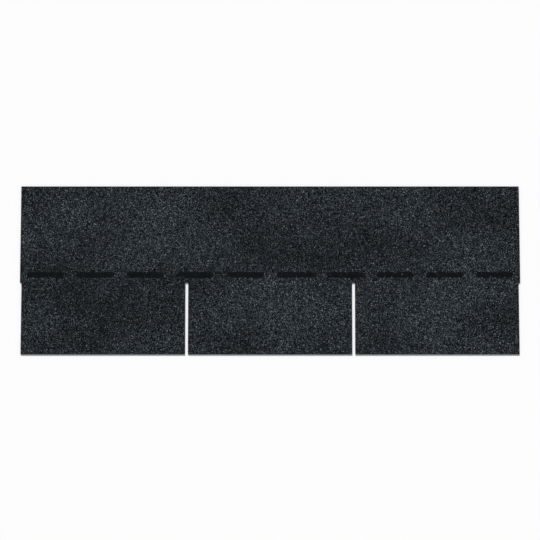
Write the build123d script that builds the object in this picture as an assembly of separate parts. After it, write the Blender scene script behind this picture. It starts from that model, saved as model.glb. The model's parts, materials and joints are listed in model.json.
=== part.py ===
from build123d import *
import os

# One three-tab asphalt strip shingle, lying on its back with the granule side up.
# Millimetres. X runs along the strip, +Y from the butt edge to the top edge, +Z up.
# The origin is the middle of the back face.

# Sheet: an asphalt-coated glass mat, cut in one piece.
SHEET_LENGTH = 1000.0
SHEET_HEIGHT = 337.0
SHEET_THICKNESS = 3.0
EXPOSURE = 143.0  # height that stays in view once the next course is laid
TAB_COUNT = 3

# Slots: cut up from the butt edge, as long as the exposure. Each end has half a slot.
SLOT_WIDTH = 6.35
SLOT_CORNER_RADIUS = 1.5

# Sealant strip: a row of adhesive dashes that bonds the tabs of the next course.
DASH_LENGTH = 76.0
DASH_WIDTH = 12.7
DASH_THICKNESS = 0.8
DASH_EDGE_RADIUS = 0.5
DASH_PITCH = 100.0
SEALANT_RISE = 9.5  # from the closed end of the slots up to the dashes

# Release film: a tape pressed flush into the back, so that stacked strips don't bond.
FILM_WIDTH = 25.0
FILM_THICKNESS = 0.05

# Places that follow from the sizes.
BUTT_EDGE_Y = -SHEET_HEIGHT / 2
SLOT_END_Y = BUTT_EDGE_Y + EXPOSURE
TAB_PITCH = SHEET_LENGTH / TAB_COUNT
SEALANT_Y = SLOT_END_Y + SEALANT_RISE + DASH_WIDTH / 2
# In a bundle each strip lies turned end for end on the one below, whose dashes the film faces.
FILM_Y = -SEALANT_Y


def slot_cutter():
    """One slot, closed at the top with rounded corners, on the strip's centre line."""
    overrun = SLOT_WIDTH  # past the butt edge, so that the mouth is cut clean
    length = EXPOSURE + overrun
    slot = Pos(0, SLOT_END_Y - length / 2) * Rectangle(SLOT_WIDTH, length)
    closed_end = slot.vertices().group_by(Axis.Y)[-1]
    return fillet(closed_end, SLOT_CORNER_RADIUS)


def make_sheet():
    """The strip: full slots between the tabs, half slots at both ends, a bed for the film."""
    slot = slot_cutter()
    tab_bounds = [index * TAB_PITCH - SHEET_LENGTH / 2 for index in range(TAB_COUNT + 1)]
    outline = Rectangle(SHEET_LENGTH, SHEET_HEIGHT)
    for bound in tab_bounds:
        outline -= Pos(bound, 0) * slot
    return extrude(outline, SHEET_THICKNESS) - make_film()


def make_film():
    """The release film, flush with the back face and as long as the strip."""
    tape = Pos(0, FILM_Y) * Rectangle(SHEET_LENGTH, FILM_WIDTH)
    return extrude(tape, FILM_THICKNESS)


def make_dash():
    """One adhesive dash with round ends and a softened top edge."""
    dash = extrude(SlotOverall(DASH_LENGTH, DASH_WIDTH), DASH_THICKNESS)
    top_rim = dash.faces().sort_by(Axis.Z)[-1].edges()
    return fillet(top_rim, DASH_EDGE_RADIUS)


def make_sealant_strip():
    """As many dashes as the strip has room for, evenly spaced about its middle."""
    count = int((SHEET_LENGTH - DASH_LENGTH) // DASH_PITCH) + 1
    places = Pos(0, SEALANT_Y, SHEET_THICKNESS) * GridLocations(DASH_PITCH, 1, count, 1)
    dash = make_dash()
    return Compound([place * dash for place in places])


def main():
    nodes = {
        "shingle_sheet": make_sheet(),
        "sealant_strip": make_sealant_strip(),
        "release_film": make_film(),
    }
    os.makedirs("parts", exist_ok=True)
    for name, shape in nodes.items():
        export_step(shape, f"parts/{name}.step")


if __name__ == "__main__":
    main()
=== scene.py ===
import json
import math

import bmesh
import bpy
import numpy as np
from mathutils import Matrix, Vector, noise


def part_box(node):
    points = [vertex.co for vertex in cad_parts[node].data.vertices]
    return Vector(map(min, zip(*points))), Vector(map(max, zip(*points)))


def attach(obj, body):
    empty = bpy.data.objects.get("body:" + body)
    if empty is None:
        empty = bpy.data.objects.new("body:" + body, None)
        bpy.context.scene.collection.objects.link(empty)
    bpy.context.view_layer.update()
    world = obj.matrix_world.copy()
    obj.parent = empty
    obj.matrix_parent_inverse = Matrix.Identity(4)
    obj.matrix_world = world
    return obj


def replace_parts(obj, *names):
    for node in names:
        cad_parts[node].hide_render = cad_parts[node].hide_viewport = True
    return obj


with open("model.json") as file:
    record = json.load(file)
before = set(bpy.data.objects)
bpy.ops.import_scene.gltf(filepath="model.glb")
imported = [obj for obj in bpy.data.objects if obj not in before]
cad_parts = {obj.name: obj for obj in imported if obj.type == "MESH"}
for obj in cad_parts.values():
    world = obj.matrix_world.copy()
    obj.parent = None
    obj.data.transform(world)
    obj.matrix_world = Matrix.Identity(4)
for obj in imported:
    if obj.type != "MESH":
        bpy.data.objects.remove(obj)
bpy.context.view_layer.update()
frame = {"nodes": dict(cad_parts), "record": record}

# Places from the frame, in metres: X along the strip, +Y up to its top edge, +Z out of the granule face.
MM = 0.001
SHEET_LOW, SHEET_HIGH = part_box("shingle_sheet")
SEALANT_LOW, SEALANT_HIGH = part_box("sealant_strip")
SLOTS = [opening["box_m"] for opening in frame["record"]["physics"]["openings"]]
SLOT_END_Y = max(high[1] for low, high in SLOTS)
TAB_EDGES = [SHEET_LOW.x] + sorted((low[0] + high[0]) / 2 for low, high in SLOTS) + [SHEET_HIGH.x]
SAME_PLACE = 0.001 * MM  # points nearer than this are one point
FACE_LEVEL = SHEET_HIGH.z - 0.01 * MM  # what lies above this is the granule face

# Ranges that values are carried between
NONE_TO_ALL = (0.0, 1.0)
ALL_TO_NONE = (1.0, 0.0)
NOISE_SPAN = (0.3, 0.7)  # where nearly all of a noise lies
NOISE_CORE = (0.35, 0.65)  # where most of it lies
GRAIN_EDGE = 0.75  # of a grain's size: how far its rounded top goes down, in colour and bump

# Granules: crushed stone, pressed into the face.
GRANULE_SPACING = 1.34 * MM
GRANULE_SMALLEST = 1.2 * MM
GRANULE_LARGEST = 2.6 * MM
GRANULE_SIZE_BIAS = 1.5  # over 1, more of them are small
GRANULE_LENGTHS = (0.9, 1.2)  # of a granule's size
GRANULE_WIDTHS = (0.7, 1.0)
GRANULE_FLATNESS = 0.6
GRANULE_HEIGHTS = (0.75, 1.25)  # of a granule's size and flatness
GRANULE_SIDES = 4  # seen from above, each with a facet over and under it
GRANULE_TILT = math.radians(25)
GRANULE_JITTER = 0.17 * MM  # how far the corners of a granule are broken off their place
GRANULE_SINK = 0.2 * MM
GRANULE_OVERHANG = 0.12 * MM  # allowed past a cut edge, before a granule's length and corners vary
SCATTER_TRIES = 6.0  # places tried in each square of the spacing
STRAY_SHARE = 0.03  # of the granules that the sealant has room for: loose ones, stuck in it
STRAY_SLOPE = 0.5  # the least upward part of a normal where one sticks

# A seed for each random draw of the granules
SCATTER_SEED = 7
PICK_SEED = 11
TURN_SEED = 12
SIZE_SEED = 13
HEIGHT_SEED = 14
LENGTH_SEED = 15
WIDTH_SEED = 16
BREAK_SEED = 17
CLUMP_SEED = 18
SHARE_SEED = 19

# The blend, in linear colour: the share of granules that are darker than each tone.
BLEND_TONES = [
    (0.00, (0.0012, 0.0017, 0.0023)),
    (0.47, (0.0050, 0.0068, 0.0090)),
    (0.60, (0.0325, 0.0412, 0.0492)),
    (0.77, (0.0905, 0.1098, 0.1270)),
    (0.93, (0.1780, 0.2065, 0.2316)),
    (1.00, (0.3130, 0.3460, 0.3740)),
]
CLUMP_SIZE = 2.3 * MM  # granules this near to each other are often of one tone
CLUMP_SHARE = 0.5
DROP_STRENGTH = 0.33  # how far the blend runs lighter and darker along the strip
DROP_WAVES = (4.0, 6.0, 1.0)  # its slow changes for each metre of X, Y and Z
DROP_PATCHES = 26.0  # its smaller patches for each metre
DROP_PATCH_SHARE = 0.18
GRANULE_ROUGHNESS = (0.7, 0.95)  # of the darkest and the lightest
GRANULE_SPECULAR = 0.02

# The face between the modelled granules: fine ones, as colour and bump, with painted shade between them.
FINES_SIZE = 0.95 * MM
FINES_PAINTED_SHADE = (0.15, 0.6)  # painted shade on the fine grains: darkest in the gaps between them, least on their tops; partly the black asphalt between them
FACE_ROUGHNESS = 0.9
SHEET_BUMP = 0.35 * MM
SHEET_BUMP_STRENGTH = 0.9
LEVEL_SLOPE = 0.5  # the least upward part of a normal on the face, and downward part on the back

# Cut edges: asphalt with its filler, the glass mat in the middle and cut granules at the top.
EDGE_ASPHALT = (0.004, 0.004, 0.004, 1.0)
EDGE_ROUGHNESS = 0.5
EDGE_WANDER = 0.3 * MM  # how far the layers wander up and down
EDGE_WANDERS = 900.0  # for each metre
FILLER_COLOUR = (0.035, 0.035, 0.035, 1.0)
FILLER_SIZE = 0.28 * MM
FILLER_PICKS = (0.7, 1.0)  # of the specks that show pale
MAT_COLOUR = (0.048, 0.046, 0.041, 1.0)
MAT_HEIGHT = 1.25 * MM
MAT_THICKNESS = 0.35 * MM
MAT_FIBRES = (300.0, 300.0, 9000.0)  # for each metre of X, Y and Z
MAT_FIBRE_RIM = (0.45, 0.6)
CUT_STONE_DEPTHS = (0.64 * MM, 0.8 * MM)  # where the cut granules begin to end, and where they end
CUT_STONE_RIM = (0.3, 0.45)
CUT_STONE_SHADE = 0.8
CUT_STONE_ROUGHNESS = 0.85

# The back: asphalt, dusted with sand.
BACK_ASPHALT = (0.009, 0.009, 0.009, 1.0)
BACK_DUST = (0.030, 0.029, 0.027, 1.0)
BACK_DUSTINGS = 22.0  # for each metre
BACK_ROUGHNESS = 0.95
SAND_SIZE = 0.5 * MM
# Sand grains carry painted light and shade: the dark colour is painted shade low on each grain, the pale
# one the sand's colour painted lit on its top.
SAND_PAINTED_SHADE_COLOUR = (0.03, 0.03, 0.03, 1.0)
SAND_LIT_TOP_COLOUR = (0.165, 0.155, 0.140, 1.0)
SAND_HEIGHTS = (0.2, 0.9)  # of a grain, low down in painted shade and at its painted-lit top
SAND_LIT_SHARES = (0.3, 1.0)  # share of the lit top colour over the painted shade, at those heights
SAND_PICKS = (0.72, 0.78)  # where a grain goes from missing to stuck
SAND_IN_DUST = 0.25  # how much likelier a grain is where the dusting is thick

# Release film: clear polyester, hazy along the lines in which it was drawn.
FILM_CLEARNESS = (0.6, 0.6, 0.6, 1.0)  # what it lets through of the back's colour
FILM_HAZE = (0.074, 0.077, 0.080, 1.0)
FILM_LINES = (9.0, 700.0, 1.0)  # for each metre of X, Y and Z
FILM_LINE_HAZE = (0.2, 1.0)
FILM_PATCHES = (30.0, 75.0, 1.0)
FILM_PATCH_HAZE = (0.15, 0.75)
FILM_CREASES = (22.0, 240.0, 1.0)
FILM_BUMP = 0.8 * MM
FILM_BUMP_STRENGTH = 0.5
FILM_SAND_RELIEF = 0.06  # of the creases' height, where sand presses through
FILM_ROUGHNESS = (0.1, 0.3)  # where it is clear and where it is hazy
FILM_SPECULAR = 0.25
BLISTER_SPACING = 9.0 * MM
BLISTER_RIM = (0.08, 0.24)  # of the spacing: a blister's flat top and its foot
BLISTER_HAZE = 0.8
BLISTER_RELIEF = 0.4  # of the creases' height

# Sealant beads: each follows its CAD dash, with a soft wavy rim.
BEAD_STEP = 0.5 * MM
BEAD_END_STEPS = 34
BEAD_WOBBLE = 0.13  # of its half width
BEAD_WAVES = [(45.0, 1.0), (180.0, 1.0), (520.0, 0.7)]  # waves of the rim in each metre, and their strength
BEAD_PULL_IN = 0.7  # of the wobble, by which the rim is drawn in from the dash's on average
BEAD_SWELL = 0.16  # of its height, in slow swells along it
BEAD_SWELLS = 130.0  # for each metre
BEAD_LUMP = 0.55  # of its height, over each granule under it
BEAD_LUMP_SIZE = 2.1 * MM
BEAD_LUMP_REACH = 0.75  # of that size, from the top of a lump down to its foot
# Rings of a bead from its underside up to its crest: share of the way in to the spine, share of the height.
BEAD_RINGS = [
    (1.0, 0.0), (0.0, 0.0), (0.0, 0.2), (0.04, 0.4), (0.1, 0.6), (0.17, 0.78), (0.24, 0.9), (0.32, 0.97),
    (0.4, 1.0), (0.48, 1.0), (0.56, 1.0), (0.64, 1.0), (0.73, 1.0), (0.82, 1.0), (0.91, 1.0), (1.0, 1.0),
]
DASH_GAP = 1.0 * MM  # faces nearer than this along the strip are of one dash
SEALANT_DARK = (0.0040, 0.0050, 0.0062, 1.0)
SEALANT_LIGHT = (0.0078, 0.0097, 0.0118, 1.0)
SEALANT_SMEARS = 60.0  # for each metre
SEALANT_LUMPS = 620.0  # for each metre
SEALANT_BUMP = 0.7 * MM
SEALANT_BUMP_STRENGTH = 0.9
SEALANT_ROUGHNESS = (0.1, 0.2)
SEALANT_SPECULAR = 0.009

# Studio
CAMERA_LENS = 85.0
SENSOR_WIDTH = 36.0
VIEW_TILT = math.radians(4.5)  # off the vertical, towards the butt edge
FRAME_SHARE = 0.925  # of the picture's width, which the strip takes
AMBIENT_SHARE = 0.32
KEY_SHARE = 0.68
KEY_FROM = Vector((-0.35, 1.0, 1.0)).normalized()
KEY_ANGLE = math.radians(9)
FLOOR_SIZE = 60.0
FLOOR_TONE = 0.98


# Node helpers

def feed(tree, socket, value):
    """Links an output to the socket, or sets the socket's own value."""
    if isinstance(value, bpy.types.NodeSocket):
        tree.links.new(value, socket)
    else:
        socket.default_value = value


def add(tree, kind, inputs=None, **settings):
    """A node of this kind, with its settings made and its inputs fed, by name or by number."""
    made = tree.nodes.new(kind)
    for name, value in settings.items():
        setattr(made, name, value)
    for key, value in (inputs or {}).items():
        feed(tree, made.inputs[key], value)
    return made


def maths(tree, operation, *values):
    """The result of a Math node."""
    return add(tree, "ShaderNodeMath", dict(enumerate(values)), operation=operation).outputs[0]


def negative(tree, value):
    """A value with its sign turned."""
    return maths(tree, "MULTIPLY", value, -1.0)


def remap(tree, value, old, new):
    """A value carried from one range to another, and held inside it."""
    inputs = {0: value, 1: old[0], 2: old[1], 3: new[0], 4: new[1]}
    return add(tree, "ShaderNodeMapRange", inputs).outputs[0]


def mix_colours(tree, share, first, second, blend="MIX"):
    """The first colour, with the second laid over it by share."""
    inputs = {0: share, 6: first, 7: second}
    return add(tree, "ShaderNodeMix", inputs, data_type="RGBA", blend_type=blend).outputs[2]


def mix_values(tree, share, first, second):
    """The first value, with the second laid over it by share."""
    return add(tree, "ShaderNodeMix", {0: share, 2: first, 3: second}, data_type="FLOAT").outputs[0]


def vector_parts(tree, vector):
    """The X, Y and Z of a vector."""
    return add(tree, "ShaderNodeSeparateXYZ", {0: vector}).outputs


def joined_vector(tree, x, y, z):
    """A vector of these three parts."""
    return add(tree, "ShaderNodeCombineXYZ", {0: x, 1: y, 2: z}).outputs[0]


def clouds(tree, place, per_metre, detail=2.0):
    """Soft noise from 0 to 1, about this many clouds in each metre."""
    inputs = {"Vector": place, "Scale": per_metre, "Detail": detail}
    return add(tree, "ShaderNodeTexNoise", inputs).outputs[0]


def streaks(tree, place, per_metre, detail=2.0):
    """Soft noise from 0 to 1, with a number of its own in each metre of X, Y and Z."""
    stretched = add(tree, "ShaderNodeVectorMath", {0: place, 1: per_metre}, operation="MULTIPLY")
    return clouds(tree, stretched.outputs[0], 1.0, detail)


def object_place(tree):
    """Where a point of the surface is on the strip."""
    return add(tree, "ShaderNodeTexCoord").outputs["Object"]


def new_group(name, inputs, outputs):
    """An empty shader group: its tree, the sockets that it is given and the sockets that it fills."""
    group = bpy.data.node_groups.new(name, "ShaderNodeTree")
    for socket_name, value in inputs:
        socket = group.interface.new_socket(socket_name, in_out="INPUT", socket_type="NodeSocketFloat")
        socket.default_value = value
    for socket_name, kind in outputs:
        group.interface.new_socket(socket_name, in_out="OUTPUT", socket_type=kind)
    return group, add(group, "NodeGroupInput").outputs, add(group, "NodeGroupOutput").inputs


def place_group(tree, group, inputs):
    """The outputs of a group set into a material's tree."""
    made = add(tree, "ShaderNodeGroup", node_tree=group)
    for name, value in inputs.items():
        feed(tree, made.inputs[name], value)
    return made.outputs


def new_material(name):
    """A material that holds only a Principled shader and its output."""
    material = bpy.data.materials.new(name)
    material.use_nodes = True
    tree = material.node_tree
    tree.nodes.clear()
    shader = add(tree, "ShaderNodeBsdfPrincipled")
    add(tree, "ShaderNodeOutputMaterial", {"Surface": shader.outputs[0]})
    return material, tree, shader


def finish(tree, shader, colour, roughness, specular):
    """Sets the colour, roughness and shine of a shader."""
    feed(tree, shader.inputs["Base Color"], colour)
    feed(tree, shader.inputs["Roughness"], roughness)
    shader.inputs["Specular IOR Level"].default_value = specular


def bumped(tree, shader, height, distance, strength):
    """Bump of this height, in metres at full strength, on the shader's normal."""
    bump = add(tree, "ShaderNodeBump", {"Strength": strength, "Distance": distance, "Height": height})
    feed(tree, shader.inputs["Normal"], bump.outputs[0])


# Effects that several materials share

def granule_blend_group():
    """Colour of a granule, picked from the blend by a number from 0 to 1, and then shaded."""
    group, given, result = new_group(
        "granule_blend", [("Pick", 0.5), ("Shade", 1.0)], [("Color", "NodeSocketColor")])
    ramp = add(group, "ShaderNodeValToRGB", {0: given["Pick"]})
    stops = ramp.color_ramp.elements
    for share, tone in BLEND_TONES[1:-1]:
        stops.new(share)
    for stop, (share, tone) in zip(stops, BLEND_TONES):
        stop.color = (*tone, 1.0)
    shade = add(group, "ShaderNodeCombineColor", {part: given["Shade"] for part in range(3)})
    feed(group, result["Color"], mix_colours(group, 1.0, ramp.outputs[0], shade.outputs[0], "MULTIPLY"))
    return group


def colour_drop_group():
    """Slow changes of shade over the strip, where the blend was dropped lighter or darker."""
    group, given, result = new_group(
        "colour_drop", [("Strength", DROP_STRENGTH)], [("Shade", "NodeSocketFloat")])
    place = object_place(group)
    waves = streaks(group, place, DROP_WAVES, detail=1.0)
    patches = clouds(group, place, DROP_PATCHES)
    both = mix_values(group, DROP_PATCH_SHARE, waves, patches)
    swing = maths(group, "MULTIPLY", remap(group, both, NOISE_CORE, (-1.0, 1.0)), given["Strength"])
    feed(group, result["Shade"], maths(group, "ADD", swing, 1.0))
    return group


def grit_group():
    """Small grains side by side: a random pick for each grain, and its rounded height."""
    group, given, result = new_group(
        "grit", [("Grain", FINES_SIZE)], [("Pick", "NodeSocketFloat"), ("Height", "NodeSocketFloat")])
    per_metre = maths(group, "DIVIDE", 1.0, given["Grain"])
    cells = add(group, "ShaderNodeTexVoronoi", {"Vector": object_place(group), "Scale": per_metre})
    parts = add(group, "ShaderNodeSeparateColor", {0: cells.outputs["Color"]})
    height = remap(group, cells.outputs["Distance"], (0.0, GRAIN_EDGE), ALL_TO_NONE)
    feed(group, result["Pick"], parts.outputs[0])
    feed(group, result["Height"], height)
    return group


# Materials

def granule_material(blend, drop):
    """Ceramic-coated stone. Each granule carries its own pick of the blend."""
    material, tree, shader = new_material("charcoal_granules")
    pick = add(tree, "ShaderNodeAttribute", attribute_name="pick").outputs["Fac"]
    shade = place_group(tree, drop, {"Strength": DROP_STRENGTH})["Shade"]
    colour = place_group(tree, blend, {"Pick": pick, "Shade": shade})["Color"]
    roughness = remap(tree, pick, NONE_TO_ALL, GRANULE_ROUGHNESS)
    finish(tree, shader, colour, roughness, GRANULE_SPECULAR)
    return material


def granule_face(tree, blend, drop, fines):
    """Colour of the face between the modelled granules: smaller ones, with painted shade from their tops
    down into the gaps between them, partly the black asphalt there.
    """
    # painted shade: each fine grain is darkened from its top down into the gaps around it
    painted_gap_shade = remap(tree, fines["Height"], FINES_PAINTED_SHADE, FINES_PAINTED_SHADE)
    shade = place_group(tree, drop, {"Strength": DROP_STRENGTH})["Shade"]
    inputs = {"Pick": fines["Pick"], "Shade": maths(tree, "MULTIPLY", shade, painted_gap_shade)}
    return place_group(tree, blend, inputs)["Color"]


def cut_edge(tree, blend, grit, fines, place):
    """Colour and roughness of a cut edge: asphalt with its filler, the mat's fibres and cut granules."""
    wander = remap(tree, clouds(tree, place, EDGE_WANDERS), NOISE_SPAN, (-EDGE_WANDER, EDGE_WANDER))
    level = maths(tree, "ADD", vector_parts(tree, place)[2], wander)
    filler = place_group(tree, grit, {"Grain": FILLER_SIZE})["Pick"]
    specks = remap(tree, filler, FILLER_PICKS, NONE_TO_ALL)
    asphalt = mix_colours(tree, specks, EDGE_ASPHALT, FILLER_COLOUR)

    fibres = remap(tree, streaks(tree, place, MAT_FIBRES), MAT_FIBRE_RIM, NONE_TO_ALL)
    off_mat = maths(tree, "ABSOLUTE", maths(tree, "SUBTRACT", level, MAT_HEIGHT))
    on_mat = remap(tree, off_mat, (MAT_THICKNESS / 2, MAT_THICKNESS), ALL_TO_NONE)
    with_mat = mix_colours(tree, maths(tree, "MULTIPLY", on_mat, fibres), asphalt, MAT_COLOUR)

    stone = place_group(tree, blend, {"Pick": fines["Pick"], "Shade": CUT_STONE_SHADE})["Color"]
    depth = maths(tree, "SUBTRACT", SHEET_HIGH.z, level)
    near_top = remap(tree, depth, CUT_STONE_DEPTHS, ALL_TO_NONE)
    in_stone = maths(tree, "MULTIPLY", near_top, remap(tree, fines["Height"], CUT_STONE_RIM, NONE_TO_ALL))
    colour = mix_colours(tree, in_stone, with_mat, stone)
    return colour, mix_values(tree, in_stone, EDGE_ROUGHNESS, CUT_STONE_ROUGHNESS)


def sanded_back(tree, sand, place):
    """Colour of the back: asphalt under a dusting of fine sand, thicker in places, each grain with painted
    shade low down and painted light on its top.
    """
    dusting = remap(tree, clouds(tree, place, BACK_DUSTINGS, detail=4.0), NOISE_SPAN, NONE_TO_ALL)
    asphalt = mix_colours(tree, dusting, BACK_ASPHALT, BACK_DUST)
    covered = maths(tree, "ADD", sand["Pick"], maths(tree, "MULTIPLY", dusting, SAND_IN_DUST))
    grains = remap(tree, covered, SAND_PICKS, NONE_TO_ALL)
    # painted light and shade on each sand grain, from its shaded foot to its lit top
    tone = remap(tree, sand["Height"], SAND_HEIGHTS, SAND_LIT_SHARES)
    shaded_and_lit_grain = mix_colours(tree, tone, SAND_PAINTED_SHADE_COLOUR, SAND_LIT_TOP_COLOUR)
    return mix_colours(tree, grains, asphalt, shaded_and_lit_grain)


def sheet_material(blend, drop, grit):
    """The coated mat: fine granules on its face, cut asphalt at its edges and sand on its back."""
    material, tree, shader = new_material("asphalt_sheet")
    normal = add(tree, "ShaderNodeNewGeometry").outputs["True Normal"]
    upward = vector_parts(tree, normal)[2]
    on_face = maths(tree, "GREATER_THAN", upward, LEVEL_SLOPE)
    on_back = maths(tree, "LESS_THAN", upward, -LEVEL_SLOPE)
    place = object_place(tree)
    fines = place_group(tree, grit, {"Grain": FINES_SIZE})
    sand = place_group(tree, grit, {"Grain": SAND_SIZE})

    face = granule_face(tree, blend, drop, fines)
    edge, edge_roughness = cut_edge(tree, blend, grit, fines, place)
    back = sanded_back(tree, sand, place)
    colour = mix_colours(tree, on_back, mix_colours(tree, on_face, edge, face), back)
    upper_roughness = mix_values(tree, on_face, edge_roughness, FACE_ROUGHNESS)
    roughness = mix_values(tree, on_back, upper_roughness, BACK_ROUGHNESS)
    finish(tree, shader, colour, roughness, GRANULE_SPECULAR)
    height = mix_values(tree, on_back, fines["Height"], sand["Height"])
    bumped(tree, shader, height, SHEET_BUMP, SHEET_BUMP_STRENGTH)
    return material


def sealant_material():
    """Soft asphalt adhesive, black, with fine glints on its lumps."""
    material, tree, shader = new_material("asphalt_sealant")
    place = object_place(tree)
    smears = clouds(tree, place, SEALANT_SMEARS)
    colour = mix_colours(tree, smears, SEALANT_DARK, SEALANT_LIGHT)
    roughness = remap(tree, smears, NOISE_SPAN, SEALANT_ROUGHNESS)
    finish(tree, shader, colour, roughness, SEALANT_SPECULAR)
    bumped(tree, shader, clouds(tree, place, SEALANT_LUMPS), SEALANT_BUMP, SEALANT_BUMP_STRENGTH)
    return material


def film_material(grit):
    """Clear polyester over the sanded back, hazy along its draw lines, with small blisters and creases."""
    material, tree, shader = new_material("release_film")
    place = object_place(tree)
    sand = place_group(tree, grit, {"Grain": SAND_SIZE})
    under = mix_colours(tree, 1.0, sanded_back(tree, sand, place), FILM_CLEARNESS, "MULTIPLY")

    lines = remap(tree, streaks(tree, place, FILM_LINES, detail=3.0), NOISE_CORE, FILM_LINE_HAZE)
    patches = remap(tree, streaks(tree, place, FILM_PATCHES), NOISE_CORE, FILM_PATCH_HAZE)
    cells = add(tree, "ShaderNodeTexVoronoi", {"Vector": place, "Scale": 1.0 / BLISTER_SPACING})
    blisters = remap(tree, cells.outputs["Distance"], BLISTER_RIM, ALL_TO_NONE)
    in_blister = maths(tree, "MULTIPLY", blisters, BLISTER_HAZE)
    haze = maths(tree, "MAXIMUM", maths(tree, "MULTIPLY", lines, patches), in_blister)
    colour = mix_colours(tree, haze, under, FILM_HAZE)
    finish(tree, shader, colour, remap(tree, haze, NONE_TO_ALL, FILM_ROUGHNESS), FILM_SPECULAR)

    creases = streaks(tree, place, FILM_CREASES, detail=3.0)
    relief = maths(tree, "ADD", creases, maths(tree, "MULTIPLY", blisters, BLISTER_RELIEF))
    relief = maths(tree, "ADD", relief, maths(tree, "MULTIPLY", sand["Height"], FILM_SAND_RELIEF))
    bumped(tree, shader, relief, FILM_BUMP, FILM_BUMP_STRENGTH)
    return material


# Pieces

def dress(node, material):
    """Gives a CAD node this material."""
    slots = frame["nodes"][node].data.materials
    slots.clear()
    slots.append(material)


def plain_mesh(name, shape):
    """A mesh with the shape that was made."""
    mesh = bpy.data.meshes.new(name)
    shape.to_mesh(mesh)
    return mesh


def add_piece(name, mesh):
    """An object for this mesh, fixed to the strip."""
    piece = bpy.data.objects.new(name, mesh)
    bpy.context.scene.collection.objects.link(piece)
    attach(piece, "root")
    return piece


# Granules

def granule_bed():
    """The upper face of the sheet, as one flat mesh with the slots left out."""
    shape = bmesh.new()
    shape.from_mesh(frame["nodes"]["shingle_sheet"].data)
    bmesh.ops.remove_doubles(shape, verts=shape.verts, dist=SAME_PLACE)
    others = [face for face in shape.faces if face.calc_center_median().z < FACE_LEVEL]
    bmesh.ops.delete(shape, geom=others, context="FACES")
    bed = plain_mesh("granule_bed", shape)
    shape.free()
    return bed


def random_value(tree, span, seed):
    """A number of its own for each element."""
    inputs = {2: span[0], 3: span[1], "Seed": seed}
    return add(tree, "FunctionNodeRandomValue", inputs, data_type="FLOAT").outputs[1]


def random_vector(tree, low, high, seed):
    """The node that gives each element a vector of its own."""
    inputs = {0: low, 1: high, "Seed": seed}
    return add(tree, "FunctionNodeRandomValue", inputs, data_type="FLOAT_VECTOR")


def inside_block(tree, low_corner, high_corner):
    """1 where an element lies between two corners, seen from above, and 0 elsewhere."""
    here = vector_parts(tree, add(tree, "GeometryNodeInputPosition").outputs[0])
    low = vector_parts(tree, low_corner)
    high = vector_parts(tree, high_corner)
    between = []
    for axis in range(2):
        past_low = maths(tree, "GREATER_THAN", here[axis], low[axis])
        before_high = maths(tree, "LESS_THAN", here[axis], high[axis])
        between.append(maths(tree, "MULTIPLY", past_low, before_high))
    return maths(tree, "MULTIPLY", *between)


def edge_distance(tree, bed):
    """How far each granule is from the nearest cut edge of the bed, which has a face on one side only."""
    faces = add(tree, "GeometryNodeInputMeshEdgeNeighbors").outputs[0]
    on_rim = maths(tree, "LESS_THAN", faces, 2.0)
    rim = add(tree, "GeometryNodeSeparateGeometry", {0: bed, 1: on_rim}, domain="EDGE")
    near = add(tree, "GeometryNodeProximity", {0: rim.outputs[0]}, target_element="EDGES")
    return near.outputs["Distance"]


def clumped_pick(tree, given):
    """A pick of the blend for each granule, which some granules share with their neighbours."""
    per_metre = maths(tree, "DIVIDE", 1.0, given["Clump size"])
    cells = add(tree, "ShaderNodeTexVoronoi", {"Scale": per_metre}, voronoi_dimensions="2D")
    shared = add(tree, "FunctionNodeSeparateColor", {0: cells.outputs["Color"]}).outputs[0]
    joins = maths(tree, "LESS_THAN", random_value(tree, NONE_TO_ALL, CLUMP_SEED), given["Clump share"])
    return mix_values(tree, joins, random_value(tree, NONE_TO_ALL, PICK_SEED), shared)


def granule_inputs(tree):
    """The named inputs of the scatter, each with its usual value."""
    sockets = [
        ("Bed", "NodeSocketGeometry", None),
        ("Low corner", "NodeSocketVector", (0.0, 0.0, 0.0)),
        ("High corner", "NodeSocketVector", (0.0, 0.0, 0.0)),
        ("Share", "NodeSocketFloat", 1.0),
        ("Spacing", "NodeSocketFloat", GRANULE_SPACING),
        ("Smallest", "NodeSocketFloat", GRANULE_SMALLEST),
        ("Largest", "NodeSocketFloat", GRANULE_LARGEST),
        ("Flatness", "NodeSocketFloat", GRANULE_FLATNESS),
        ("Tilt", "NodeSocketFloat", GRANULE_TILT),
        ("Jitter", "NodeSocketFloat", GRANULE_JITTER),
        ("Sink", "NodeSocketFloat", GRANULE_SINK),
        ("Overhang", "NodeSocketFloat", GRANULE_OVERHANG),
        ("Clump size", "NodeSocketFloat", CLUMP_SIZE),
        ("Clump share", "NodeSocketFloat", CLUMP_SHARE),
        ("Seed", "NodeSocketInt", SCATTER_SEED),
    ]
    for name, kind, value in sockets:
        socket = tree.interface.new_socket(name, in_out="INPUT", socket_type=kind)
        if value is not None:
            socket.default_value = value
    return add(tree, "NodeGroupInput").outputs


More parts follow.
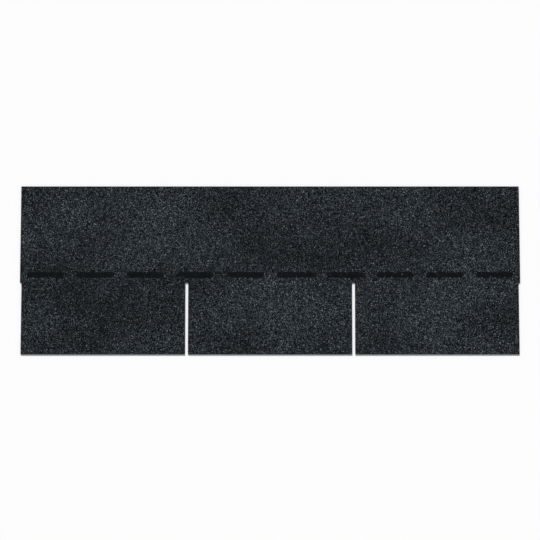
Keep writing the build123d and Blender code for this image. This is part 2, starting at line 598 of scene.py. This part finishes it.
def granule_places(tree, given):
    """Points scattered over the bed: those of one block, sunk a little, each with its pick of the blend."""
    square = maths(tree, "MULTIPLY", given["Spacing"], given["Spacing"])
    inputs = {
        "Mesh": given["Bed"],
        "Distance Min": given["Spacing"],
        "Density Max": maths(tree, "DIVIDE", SCATTER_TRIES, square),
        "Seed": given["Seed"],
    }
    scatter = add(tree, "GeometryNodeDistributePointsOnFaces", inputs, distribute_method="POISSON")
    inside = inside_block(tree, given["Low corner"], given["High corner"])
    chosen = maths(tree, "LESS_THAN", random_value(tree, NONE_TO_ALL, SHARE_SEED), given["Share"])
    wanted = maths(tree, "MULTIPLY", inside, chosen)
    kept = add(tree, "GeometryNodeSeparateGeometry", {0: scatter.outputs["Points"], 1: wanted})
    drop = joined_vector(tree, 0.0, 0.0, negative(tree, given["Sink"]))
    sunk = add(tree, "GeometryNodeSetPosition", {"Geometry": kept.outputs[0], "Offset": drop})
    inputs = {"Geometry": sunk.outputs[0], "Name": "pick", "Value": clumped_pick(tree, given)}
    picked = add(tree, "GeometryNodeStoreNamedAttribute", inputs, data_type="FLOAT", domain="POINT")
    return picked.outputs[0]


def granule_turn(tree, given):
    """How each granule is turned: any way round, but nearly flat."""
    lean = negative(tree, given["Tilt"])
    least = joined_vector(tree, lean, lean, 0.0)
    most = joined_vector(tree, given["Tilt"], given["Tilt"], math.tau)
    turn = random_vector(tree, least, most, TURN_SEED)
    return add(tree, "FunctionNodeEulerToRotation", {0: turn.outputs[0]}).outputs[0]


def granule_scale(tree, given):
    """Half of the length, width and height of each granule, smaller where a cut edge is near."""
    chance = maths(tree, "POWER", random_value(tree, NONE_TO_ALL, SIZE_SEED), GRANULE_SIZE_BIAS)
    whole_size = mix_values(tree, chance, given["Smallest"], given["Largest"])
    room = maths(tree, "ADD", edge_distance(tree, given["Bed"]), given["Overhang"])
    size = maths(tree, "MINIMUM", whole_size, maths(tree, "MULTIPLY", room, 2.0))
    half_size = maths(tree, "MULTIPLY", size, 0.5)
    length = random_value(tree, GRANULE_LENGTHS, LENGTH_SEED)
    width = random_value(tree, GRANULE_WIDTHS, WIDTH_SEED)
    height = maths(tree, "MULTIPLY", given["Flatness"], random_value(tree, GRANULE_HEIGHTS, HEIGHT_SEED))
    inputs = {0: joined_vector(tree, length, width, height), "Scale": half_size}
    return add(tree, "ShaderNodeVectorMath", inputs, operation="SCALE").outputs[0]


def broken_corners(tree, given, stones):
    """Stones with each of their corners moved by a random jitter, and with flat facets."""
    back = negative(tree, given["Jitter"])
    least = joined_vector(tree, back, back, back)
    most = joined_vector(tree, given["Jitter"], given["Jitter"], given["Jitter"])
    shift = random_vector(tree, least, most, BREAK_SEED)
    feed(tree, shift.inputs["ID"], add(tree, "GeometryNodeInputIndex").outputs[0])
    broken = add(tree, "GeometryNodeSetPosition", {"Geometry": stones, "Offset": shift.outputs[0]})
    inputs = {"Geometry": broken.outputs[0], "Shade Smooth": False}
    return add(tree, "GeometryNodeSetShadeSmooth", inputs).outputs[0]


def granule_tree(material):
    """Scatters granules over the bed, keeps those of one block and breaks their shapes up."""
    tree = bpy.data.node_groups.new("granule_scatter", "GeometryNodeTree")
    given = granule_inputs(tree)
    tree.interface.new_socket("Granules", in_out="OUTPUT", socket_type="NodeSocketGeometry")
    stone = {"Segments": GRANULE_SIDES, "Rings": 2, "Radius": 1.0}
    inputs = {
        "Points": granule_places(tree, given),
        "Instance": add(tree, "GeometryNodeMeshUVSphere", stone).outputs[0],
        "Rotation": granule_turn(tree, given),
        "Scale": granule_scale(tree, given),
    }
    spread = add(tree, "GeometryNodeInstanceOnPoints", inputs)
    solid = add(tree, "GeometryNodeRealizeInstances", {0: spread.outputs[0]})
    stones = broken_corners(tree, given, solid.outputs[0])
    dressed = add(tree, "GeometryNodeSetMaterial", {"Geometry": stones, "Material": material})
    add(tree, "NodeGroupOutput", {0: dressed.outputs[0]})
    return tree


def map_from_above(mesh):
    """A texture map of the mesh as seen from above, so that each granule has its own spot on it."""
    places = np.empty(len(mesh.vertices) * 3, np.float32)
    mesh.vertices.foreach_get("co", places)
    across = places.reshape(-1, 3)[:, :2]
    low, high = across.min(0), across.max(0)
    corners = np.empty(len(mesh.loops), np.int32)
    mesh.loops.foreach_get("vertex_index", corners)
    spots = ((across - low) / (high - low))[corners]
    mesh.uv_layers.new(name="OFBake").uv.foreach_set("vector", spots.astype(np.float32).ravel())


def add_granules(name, bed, tree, inputs):
    """A piece of granules, scattered over the bed and made a plain mesh."""
    carrier = bpy.data.objects.new("granule_carrier", bed)
    bpy.context.scene.collection.objects.link(carrier)
    scatter = carrier.modifiers.new("granules", "NODES")
    scatter.node_group = tree
    sockets = {item.name: item.identifier for item in tree.interface.items_tree}
    for socket_name, value in inputs.items():
        scatter[sockets[socket_name]] = value
    graph = bpy.context.evaluated_depsgraph_get()
    mesh = bpy.data.meshes.new_from_object(carrier.evaluated_get(graph), depsgraph=graph)
    bpy.data.objects.remove(carrier)
    mesh.name = name
    add_piece(name, mesh)
    return mesh


def make_granules(tree):
    """Granules over the whole face, in blocks: one for each tab and one above it."""
    bed = granule_bed()
    bands = {"tab": (SHEET_LOW.y, SLOT_END_Y), "headlap": (SLOT_END_Y, SHEET_HIGH.y)}
    for band, (bottom, top) in bands.items():
        for number, (left, right) in enumerate(zip(TAB_EDGES, TAB_EDGES[1:]), start=1):
            corners = {"Low corner": (left, bottom, 0.0), "High corner": (right, top, 0.0)}
            map_from_above(add_granules(f"granules_{band}_{number}", bed, tree, corners))


# Sealant

def dash_spans():
    """Where each dash of the CAD node starts and ends along the strip."""
    mesh = frame["nodes"]["sealant_strip"].data
    spans = []
    for face in mesh.polygons:
        along = [mesh.vertices[index].co.x for index in face.vertices]
        spans.append((min(along), max(along)))
    dashes = []
    for start, end in sorted(spans):
        if dashes and start < dashes[-1][1] + DASH_GAP:
            dashes[-1][1] = max(dashes[-1][1], end)
        else:
            dashes.append([start, end])
    return dashes


def bead_rim(start, end, middle, half_width):
    """Points of the spine with the way out to the rim from each, once round the bead."""
    left = start + half_width
    right = end - half_width
    count = round((right - left) / BEAD_STEP)
    run = [left + (right - left) * step / count for step in range(count + 1)]
    turns = [math.pi * step / BEAD_END_STEPS for step in range(1, BEAD_END_STEPS)]
    rim = [((x, middle), (0.0, -1.0)) for x in run]
    rim += [((right, middle), (math.sin(turn), -math.cos(turn))) for turn in turns]
    rim += [((x, middle), (0.0, 1.0)) for x in reversed(run)]
    rim += [((left, middle), (-math.sin(turn), math.cos(turn))) for turn in turns]
    return rim


def bead_reach(edge):
    """Share of its half width that a bead reaches out to, at this point of its CAD rim."""
    wave = sum(strength * noise.noise(edge * per_metre) for per_metre, strength in BEAD_WAVES)
    return 1.0 - BEAD_WOBBLE * (BEAD_PULL_IN + wave)


def bead_height(spot):
    """Share of its full height that a bead has at this spot, thinnest between the granules under it."""
    distances, centres = noise.voronoi(spot / BEAD_LUMP_SIZE)
    lump = 1.0 - min(distances[0] / BEAD_LUMP_REACH, 1.0) ** 2
    swell = 0.5 - noise.noise(spot * BEAD_SWELLS)
    return 1.0 - BEAD_SWELL * swell - BEAD_LUMP * (1.0 - lump)


def add_bead(shape, start, end):
    """One bead of sealant, wavy at its rim and lumpy over the granules under it."""
    middle = (SEALANT_LOW.y + SEALANT_HIGH.y) / 2
    half_width = (SEALANT_HIGH.y - SEALANT_LOW.y) / 2
    height = SEALANT_HIGH.z - SEALANT_LOW.z
    rim = bead_rim(start, end, middle, half_width)
    rings = []
    for inset, rise in BEAD_RINGS:
        ring = []
        for (x, y), (out_x, out_y) in rim:
            edge = Vector((x + out_x * half_width, y + out_y * half_width, 0.0))
            reach = half_width * (1.0 - inset) * bead_reach(edge)
            spot = Vector((x + out_x * reach, y + out_y * reach, 0.0))
            spot.z = SEALANT_LOW.z + height * rise * bead_height(spot)
            ring.append(shape.verts.new(spot))
        rings.append(ring)
    for outer, inner in zip(rings, rings[1:]):
        for index in range(len(rim)):
            after = (index + 1) % len(rim)
            shape.faces.new((outer[index], outer[after], inner[after], inner[index]))


def bead_crests(shape):
    """The upper side of the beads, as a bed for granules that stuck to them."""
    shape.normal_update()
    lower = [face for face in shape.faces if face.normal.z < STRAY_SLOPE]
    bmesh.ops.delete(shape, geom=lower, context="FACES")
    return plain_mesh("bead_crests", shape)


def make_sealant(material, tree):
    """All the beads, in place of the plain dashes, with a few loose granules stuck in them."""
    shape = bmesh.new()
    for start, end in dash_spans():
        add_bead(shape, start, end)
    bmesh.ops.remove_doubles(shape, verts=shape.verts, dist=SAME_PLACE)
    for face in shape.faces:
        face.smooth = True
    beads = plain_mesh("sealant_beads", shape)
    beads.materials.append(material)
    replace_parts(add_piece("sealant_beads", beads), "sealant_strip")

    strays = {"Low corner": SHEET_LOW, "High corner": SHEET_HIGH, "Share": STRAY_SHARE}
    add_granules("granules_stray", bead_crests(shape), tree, strays)
    shape.free()


# Studio

def grey(level):
    """A plain grey of this brightness."""
    return (level, level, level, 1.0)


def look_along(thing, direction):
    """Turns a camera or a lamp to point this way."""
    thing.rotation_mode = "QUATERNION"
    thing.rotation_quaternion = direction.to_track_quat("-Z", "Y")


def make_camera():
    """A long lens nearly straight above the strip, with the butt edge at the bottom."""
    data = bpy.data.cameras.new("camera")
    data.lens = CAMERA_LENS
    data.sensor_width = SENSOR_WIDTH
    camera = bpy.data.objects.new("camera", data)
    bpy.context.scene.collection.objects.link(camera)
    half_width = (SHEET_HIGH.x - SHEET_LOW.x) / 2
    distance = half_width / FRAME_SHARE * CAMERA_LENS / (SENSOR_WIDTH / 2)
    away = Vector((0.0, -math.sin(VIEW_TILT), math.cos(VIEW_TILT)))
    camera.location = (SHEET_LOW + SHEET_HIGH) / 2 + distance * away
    look_along(camera, -away)
    bpy.context.scene.camera = camera


def make_key_light():
    """Even light from beyond the top edge, in which granules and edges throw short shadows."""
    data = bpy.data.lights.new("key", "SUN")
    data.energy = KEY_SHARE * math.pi / KEY_FROM.z
    data.angle = KEY_ANGLE
    lamp = bpy.data.objects.new("key", data)
    look_along(lamp, -KEY_FROM)
    bpy.context.scene.collection.objects.link(lamp)


def make_world():
    """Even light from all round, and the floor's own tone where the background is seen."""
    world = bpy.data.worlds.new("studio")
    bpy.context.scene.world = world
    world.use_nodes = True
    tree = world.node_tree
    tree.nodes.clear()
    rays = add(tree, "ShaderNodeLightPath").outputs
    seen = maths(tree, "MAXIMUM", rays["Is Camera Ray"], rays["Is Transmission Ray"])
    shown = maths(tree, "MAXIMUM", seen, rays["Is Glossy Ray"])
    strength = mix_values(tree, shown, AMBIENT_SHARE, FLOOR_TONE)
    background = add(tree, "ShaderNodeBackground", {"Color": grey(1.0), "Strength": strength})
    add(tree, "ShaderNodeOutputWorld", {"Surface": background.outputs[0]})


def make_floor():
    """A plain white floor."""
    half = FLOOR_SIZE / 2
    mesh = bpy.data.meshes.new("floor")
    corners = [(-half, -half, 0.0), (half, -half, 0.0), (half, half, 0.0), (-half, half, 0.0)]
    mesh.from_pydata(corners, [], [(0, 1, 2, 3)])
    material, tree, shader = new_material("white_floor")
    finish(tree, shader, grey(FLOOR_TONE), 1.0, 0.0)
    mesh.materials.append(material)
    floor = bpy.data.objects.new("floor", mesh)
    bpy.context.scene.collection.objects.link(floor)


def main():
    """Sets up the studio, then dresses the strip."""
    bpy.context.scene.view_settings.view_transform = "Standard"
    make_camera()
    make_key_light()
    make_world()
    make_floor()
    blend = granule_blend_group()
    drop = colour_drop_group()
    grit = grit_group()
    dress("shingle_sheet", sheet_material(blend, drop, grit))
    dress("release_film", film_material(grit))
    scatter = granule_tree(granule_material(blend, drop))
    make_granules(scatter)
    make_sealant(sealant_material(), scatter)


main()
